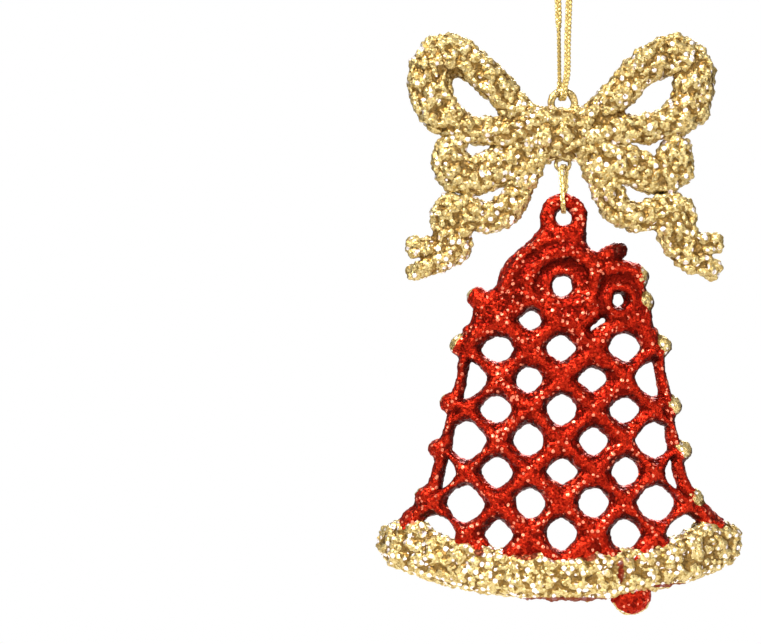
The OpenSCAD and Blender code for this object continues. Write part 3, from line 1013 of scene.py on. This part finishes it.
def from_nub(x, y, z, nub):
    """Distance from the centre of a nub."""
    return np.sqrt((x - nub[0]) ** 2 + y**2 + (z - nub[1]) ** 2)


def nub_field(x, y, z):
    field = np.full(x.shape, np.inf)
    for nub in NUBS_LEFT + NUBS_RIGHT:
        field = np.minimum(field, from_nub(x, y, z, nub) - NUB_R)
    return field


def plate_depth_inside(x, z):
    """How far inside the bell's outline, and off its holes, each place of the drawing is."""
    halfway = CROWN_OUTLINE.index((-18.6, -46))
    right = smooth(CROWN_OUTLINE[1:halfway], 3)
    left = smooth(CROWN_OUTLINE[halfway:] + CROWN_OUTLINE[:1], 3)
    crown = within_outline(x, z, [tuple(p) for p in right + left])
    sides = [(-14, -40), (14, -40)] + [(p[0], p[1]) for p in EDGE_RIGHT] + [(30, -92), (-30, -92)]
    sides += [(p[0], p[1]) for p in reversed(EDGE_LEFT)]
    inner = np.maximum(crown, within_outline(x, z, sides) + 0.9)
    for centre, wide, tall, roundness in lattice_holes():
        inner = np.minimum(inner, off_hole(x, z, centre, wide, tall, roundness))
    for centre, wide, tall, roundness in CROWN_HOLES:
        inner = np.minimum(inner, off_hole(x, z, centre, wide, tall, roundness))
    inner = np.minimum(inner, -within_bar(x, z, CROWN_SLIT))
    for path in (EDGE_LEFT, EDGE_RIGHT):
        inner = np.maximum(inner, within_bar(x, z, [tuple(p) for p in smooth(path, 3)]))
    return inner


def leaf_field(x, y, z):
    (ax, az), (bx, bz) = LEAF
    run_x, run_z = bx - ax, bz - az
    t = np.clip(((x - ax) * run_x + (z - az) * run_z) / (run_x**2 + run_z**2), 0, 1)
    return np.sqrt((x - ax - t * run_x) ** 2 + y**2 + (z - az - t * run_z) ** 2) - LEAF_R


def body_field():
    """The bell's red moulding as a field over a grid of its flat drawing."""
    axes = [np.arange(PLATE_LOW[i], PLATE_HIGH[i], PLATE_STEP) for i in range(3)]
    flat_x, flat_z = np.meshgrid(axes[0], axes[2], indexing="ij")
    inner = plate_depth_inside(flat_x, flat_z)[:, None, :]
    crown_share = np.clip((flat_z - LATTICE_TOP_Z) / (CROWN_LOW_Z - LATTICE_TOP_Z), 0, 1)
    back = LATTICE_DEPTH + (CROWN_DEPTH - LATTICE_DEPTH) * crown_share
    face = back + crown_relief(flat_x, flat_z) * crown_share
    face = face + strand_relief(flat_x, flat_z) * (1 - crown_share)
    x, y, z = np.meshgrid(*axes, indexing="ij")
    depth = np.where(y < 0, face[:, None, :], back[:, None, :])
    rounded = np.clip(1 - inner / EDGE_ROUND, 0, None)
    plate = (np.sqrt((y / depth) ** 2 + rounded**2) - 1) * LATTICE_DEPTH
    ring = np.hypot(np.hypot(x - RING_X, z - RING_Z) - RING_R, y) - (RING_TUBE - RING_THINNER)
    field = merged(plate, ring, RING_FILLET)
    field = merged(field, leaf_field(x, y, z), LEAF_FILLET)
    return merged(field, nub_field(x, y, z), NUB_FILLET)


def smoothed(low, high, value):
    """An eased step: 0 at low and 1 at high, which may be the lesser of the two."""
    t = np.clip((value - low) / (high - low), 0, 1)
    return t * t * (3 - 2 * t)


def nub_gilt(x, y, z, nub, towards, start, end):
    """Gold on one side of a nub: none up to start, and full from end, millimetres from its centre."""
    near = smoothed(NUB_R + 0.7, NUB_R + 0.1, from_nub(x, y, z, nub))
    reach = (x - nub[0]) * towards[0] + (z - nub[1]) * towards[1]
    return near * smoothed(start, end, reach)


def paint_body(mesh):
    """Stores where the gold has caught the red moulding, where the bud is brown, and where walls that
    face down and to the right get painted shade.
    """
    x, y, z = coordinates(mesh).T
    gilt = np.zeros(len(x))
    for nub in NUBS_RIGHT:
        gilt = np.maximum(gilt, nub_gilt(x, y, z, nub, GILT_RIGHT, -1.1, -0.5))
    for nub, share in zip(NUBS_LEFT, LEFT_SHARES):
        start, end = 1.7 - 1.5 * share, 2.1 - 1.5 * share
        gilt = np.maximum(gilt, nub_gilt(x, y, z, nub, GILT_LEFT, start, end))
    edge = np.interp(-z, *zip(*GILT_EDGE))
    band = smoothed(33, 34, -z) * smoothed(60, 57, -z)
    gilt = np.maximum(gilt, band * smoothed(edge - 0.5, edge + 0.1, x))
    store(mesh, "gilt", gilt)
    bud = smoothed(2.6, 1.4, np.hypot(x - LEAF[1][0], z - LEAF[1][1]))
    side, out, up = neighbour_mean(mesh, normals(mesh), 6).T
    # Painted shade: the walls that face down and to the right, away from the key light, are darkened.
    painted_wall_shade = smoothed(-0.97, -0.6, out) * smoothed(0.15, -0.45, up - 0.6 * side)
    store(mesh, "bud_brown_and_painted_shade", np.maximum(bud, 0.9 * painted_wall_shade))


def make_bell_body():
    skin = surface("bell_body", body_field(), PLATE_LOW, PLATE_STEP)
    mesh = crusted(skin, RED_LUMPS, RED_GRAINS, RED_JITTER, RED_KEEP, 51)
    paint_body(mesh)
    nodes = ["bell_ring", "bell_crown", "crown_rosette", "side_rosette", "crown_leaf", "lattice_panel",
             "edge_bar_left", "edge_bar_right", "edge_nubs_left", "edge_nubs_right"]
    add(bent(mesh), BELL_FRAME, "bell_body", "bell", nodes, RED)


RIM_HALF_DEPTH = 3.0
RIM_GRAINS = [(2.4, 0.6), (1.2, 0.7)]
# Lumps on top of the rim's ends: [x, z]
RIM_LUMPS = [(-33.5, -86.4), (-29, -85.4), (29, -85.4), (33.5, -86.4)]
# Patches of the rim that the gold has missed: [x, z, half width, half height]
RIM_BARE = [
    (-7.4, -90.2, 2.4, 1.0), (4.6, -90.4, 1.6, 1.0), (-16.2, -89.6, 1, 0.9), (10.8, -93.4, 0.6, 2.4),
    (0, -99, 9, 0.55), (22, -96.4, 5, 0.4),
]


def make_rim():
    shape = Shape()
    line = padded_line(RIM)
    sweep(shape, line[:, :3], line[:, 3], RIM_HALF_DEPTH, sides=24, flat=0.75)
    for x, z in RIM_LUMPS:
        ball(shape, np.array((x, 0, z)), 2.6, 2.4, 3)
    skin = skinned(shape, "rim_band", GOLD_VOXEL)
    mesh = crusted(skin, GOLD_LUMPS, RIM_GRAINS, GOLD_JITTER, GOLD_KEEP, 53)
    x, _, z = coordinates(mesh).T
    worn = np.zeros(len(x))
    for centre_x, centre_z, wide, tall in RIM_BARE:
        spot = np.hypot((x - centre_x) / wide, (z - centre_z) / tall)
        worn = np.maximum(worn, smoothed(1.3, 0.7, spot))
    store(mesh, "worn", worn)
    add(bent(mesh), BELL_FRAME, "rim_band", "bell", ["rim_band"], RIM_GOLD)


CLAPPER_RAISED = 0.2
CLAPPER_HALF_DEPTH = 2.1
CLAPPER_VOXEL = 0.27


def make_clapper():
    """The moulded disc at the foot, with gold along its lower edge."""
    shape = Shape()
    centre = np.array((CLAPPER[0], 0, CLAPPER[1] + CLAPPER_RAISED))
    ball(shape, centre, CLAPPER_R, CLAPPER_R, CLAPPER_HALF_DEPTH)
    skin = skinned(shape, "clapper", CLAPPER_VOXEL)
    mesh = crusted(skin, RED_LUMPS, RED_GRAINS, RED_JITTER, RED_KEEP, 54)
    x, _, z = coordinates(mesh).T
    border = smoothed(3.3, 3.9, np.hypot(x - CLAPPER[0], z - CLAPPER[1]))
    store(mesh, "gilt", border * smoothed(-99, -100, z))
    # No bud brown and no painted shade on the clapper.
    store(mesh, "bud_brown_and_painted_shade", np.zeros(len(x)))
    add(bent(mesh), BELL_FRAME, "clapper", "bell", ["clapper"], RED)


make_bell_body()
make_rim()
make_clapper()


# ---- Studio ----
FLOOR_Z, FLOOR_R = -0.2, 0.22
GLOW = 0.52
GLOW_LOW, GLOW_HIGH = (0.12, 0.11, 0.10, 1), (1, 1, 1, 1)
LIGHT_TARGET = (0, 0, -0.1)


def make_floor():
    """A pale round table top below the hanging ornament."""
    mesh = bpy.data.meshes.new("floor")
    made = bmesh.new()
    bmesh.ops.create_circle(made, cap_ends=True, segments=96, radius=FLOOR_R)
    made.to_mesh(mesh)
    made.free()
    floor = bpy.data.objects.new("floor", mesh)
    floor.location = (0, 0, FLOOR_Z)
    bpy.context.collection.objects.link(floor)
    n = Nodes("floor")
    mesh.materials.append(n.finish(Base_Color=colour(236, 236, 234), Roughness=0.7))


def make_light(name, place, size, power):
    data = bpy.data.lights.new(name, "AREA")
    data.shape = "DISK"
    data.size = size
    data.energy = power
    light = bpy.data.objects.new(name, data)
    light.location = place
    direction = Vector(LIGHT_TARGET) - Vector(place)
    light.rotation_euler = direction.to_track_quat("-Z", "Y").to_euler()
    bpy.context.collection.objects.link(light)


def make_world():
    """White behind the ornament; what it reflects is bright above and grey below."""
    world = bpy.data.worlds.new("studio")
    bpy.context.scene.world = world
    world.use_nodes = True
    tree = world.node_tree
    tree.nodes.clear()
    out = tree.nodes.new("ShaderNodeOutputWorld")
    seen = tree.nodes.new("ShaderNodeBackground")
    seen.inputs[0].default_value = (1, 1, 1, 1)
    seen.inputs[1].default_value = 1.0
    glow = tree.nodes.new("ShaderNodeBackground")
    glow.inputs[1].default_value = GLOW
    coords = tree.nodes.new("ShaderNodeTexCoord")
    split = tree.nodes.new("ShaderNodeSeparateXYZ")
    ramp = tree.nodes.new("ShaderNodeValToRGB")
    height = tree.nodes.new("ShaderNodeMapRange")
    height.inputs["From Min"].default_value = -1
    ramp.color_ramp.elements[0].color = GLOW_LOW
    ramp.color_ramp.elements[0].position = 0.3
    ramp.color_ramp.elements[1].color = GLOW_HIGH
    ramp.color_ramp.elements[1].position = 0.8
    path = tree.nodes.new("ShaderNodeLightPath")
    mix = tree.nodes.new("ShaderNodeMixShader")
    tree.links.new(coords.outputs["Generated"], split.inputs[0])
    tree.links.new(split.outputs["Z"], height.inputs["Value"])
    tree.links.new(height.outputs[0], ramp.inputs[0])
    tree.links.new(ramp.outputs[0], glow.inputs[0])
    tree.links.new(path.outputs["Is Camera Ray"], mix.inputs[0])
    tree.links.new(glow.outputs[0], mix.inputs[1])
    tree.links.new(seen.outputs[0], mix.inputs[2])
    tree.links.new(mix.outputs[0], out.inputs[0])


def make_studio():
    make_floor()
    make_world()
    make_light("key", (-0.34, -0.48, 0.42), size=0.12, power=10)
    make_light("fill", (0.4, -0.5, 0.0), size=0.3, power=2)
    make_light("back", (0.1, 0.6, 0.3), size=0.3, power=4)
    bpy.context.scene.view_settings.view_transform = "Standard"


make_studio()
